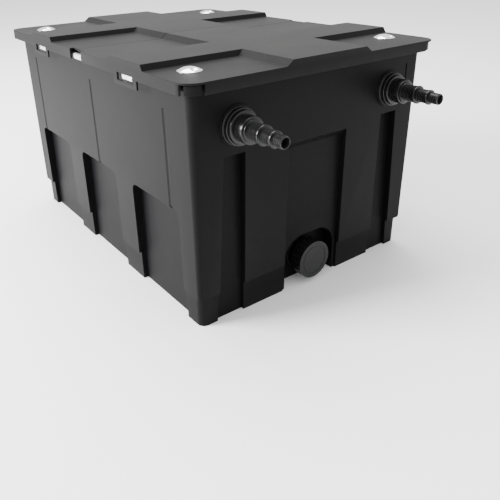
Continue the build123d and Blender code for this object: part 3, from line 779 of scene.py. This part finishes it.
for seed, node in enumerate(("coarse_mat", "medium_mat", "fine_mat")):
    mat = foam_block(f"{node}_pad", node, 3 * MM, 6 * MM, 1.4 * MM)
    fibres = fibre_layer(f"{node}_fibres", node, 1400 if node == "fine_mat" else 500, seed)
    pick(mat)
    fibres.select_set(True)
    bpy.ops.object.join()
    install(mat, MAT_FIBRE, "mat_fibre", node)

# %% [markdown]
# ## Net bags of media
# The rings and balls are modelled once, from a short tube and a stack of discs with only a few
# dozen faces, and copied into a jittered block that fills the bag. The net is a pillow shape
# whose mesh edges are turned into thin cords by the Wireframe modifier.

# %% Rings, balls and nets


def ring_shape():
    """Vertices and faces of one ceramic ring: a short tube with twelve sides."""
    sides, outer, inner, half = 12, 8.0 * MM, 4.4 * MM, 7.5 * MM
    points, faces = [], []
    for radius, z in ((outer, -half), (outer, half), (inner, half), (inner, -half)):
        for index in range(sides):
            angle = 2 * math.pi * index / sides
            points.append(Vector((radius * math.cos(angle), radius * math.sin(angle), z)))
    for loop in range(4):
        for index in range(sides):
            after = (index + 1) % sides
            across = (loop + 1) % 4
            here, there = loop * sides, across * sides
            faces.append((here + index, here + after, there + after, there + index))
    return points, faces


def ball_shape():
    """One filter ball: five thin discs across a sphere, on a short hub."""
    sides, radius, thick = 12, 17.0 * MM, 1.4 * MM
    points, faces = [], []
    for height in (-12.0, -6.0, 0.0, 6.0, 12.0):
        z = height * MM
        disc = math.sqrt(radius ** 2 - z ** 2)
        base = len(points)
        for level in (z - thick / 2, z + thick / 2):
            for index in range(sides):
                angle = 2 * math.pi * index / sides
                points.append(Vector((disc * math.cos(angle), disc * math.sin(angle), level)))
        for index in range(sides):
            after = (index + 1) % sides
            faces.append((base + index, base + after, base + sides + after, base + sides + index))
        faces.append(tuple(base + index for index in reversed(range(sides))))
        faces.append(tuple(base + sides + index for index in range(sides)))
    base = len(points)
    for level in (-12.0 * MM, 12.0 * MM):
        for index in range(6):
            angle = 2 * math.pi * index / 6
            points.append(Vector((4 * MM * math.cos(angle), 4 * MM * math.sin(angle), level)))
    for index in range(6):
        after = (index + 1) % 6
        faces.append((base + index, base + after, base + 6 + after, base + 6 + index))
    return points, faces


def heap(name, node, shape, pitch, margin, seed):
    """Copies of one shape on a jittered grid inside a node's box, each turned at random."""
    rng = random.Random(seed)
    low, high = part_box(node)
    points, faces = shape
    counts = [max(1, int((high[i] - low[i] - 2 * margin) // pitch)) for i in range(3)]
    all_points, all_faces = [], []
    for i in range(counts[0]):
        for j in range(counts[1]):
            for k in range(counts[2]):
                share = Vector(((i + 0.5) / counts[0], (j + 0.5) / counts[1], (k + 0.5) / counts[2]))
                room = high - low - 2 * Vector((margin,) * 3)
                centre = low + Vector((margin,) * 3) + Vector(a * b for a, b in zip(share, room))
                edge = max(abs(share.x - 0.5), abs(share.y - 0.5)) * 2
                centre.z = (low.z + high.z) / 2 + (centre.z - (low.z + high.z) / 2) * (1.0 - 0.3 * edge ** 4)
                centre += Vector(rng.uniform(-0.12, 0.12) * pitch for _ in range(3))
                axis = Vector(rng.uniform(-1, 1) for _ in range(3)).normalized()
                turn = axis.to_track_quat("Z", "Y")
                base = len(all_points)
                all_points += [turn @ point + centre for point in points]
                all_faces += [tuple(base + corner for corner in face) for face in faces]
    mesh = bpy.data.meshes.new(name)
    mesh.from_pydata(all_points, [], all_faces)
    piece = bpy.data.objects.new(name, mesh)
    bpy.context.scene.collection.objects.link(piece)
    smooth(piece, 40)
    return piece


def net_bag(name, node, cord):
    """A pillow-shaped net with square meshes, just inside the node's box."""
    low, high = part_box(node)
    centre, half = (low + high) / 2, (high - low) / 2 - Vector((2 * MM,) * 3)
    bpy.ops.object.select_all(action="DESELECT")
    bpy.ops.mesh.primitive_cube_add(size=2.0, location=centre)
    piece = bpy.context.object
    piece.name = name
    piece.scale = half
    place_in_mesh(piece)
    start_editing(piece)
    bpy.ops.mesh.subdivide(number_cuts=17)
    stop_editing()
    for vertex in piece.data.vertices:
        share = Vector(((vertex.co - centre)[i] / half[i] for i in range(3)))
        edge = max(abs(share.x), abs(share.y))
        vertex.co.z = centre.z + (vertex.co.z - centre.z) * (1.0 - 0.34 * edge ** 4)
        pull = 1.0 - 0.05 * abs(share.z) ** 4
        vertex.co.x = centre.x + (vertex.co.x - centre.x) * pull
        vertex.co.y = centre.y + (vertex.co.y - centre.y) * pull
    wander(piece, 1.2 * MM, 60.0)
    apply_modifier(piece, "WIREFRAME", thickness=cord, use_even_offset=False)
    return piece


for side in ("left", "right"):
    seed = 11 if side == "left" else 12
    for kind, shape, pitch, margin, material, slot in (
        ("ceramic", ring_shape(), 15.5 * MM, 8 * MM, CERAMIC, "ceramic_net"),
        ("ball", ball_shape(), 32.0 * MM, 6 * MM, BALL_PLASTIC, "ball_net"),
    ):
        node = f"{kind}_bag_{side}"
        media = heap(f"{kind}_media_{side}", node, shape, pitch, margin, seed)
        install(media, material, slot, node)
        net = net_bag(f"{kind}_net_{side}", node, 0.9 * MM)
        install(net, NET_CORD, slot, node)
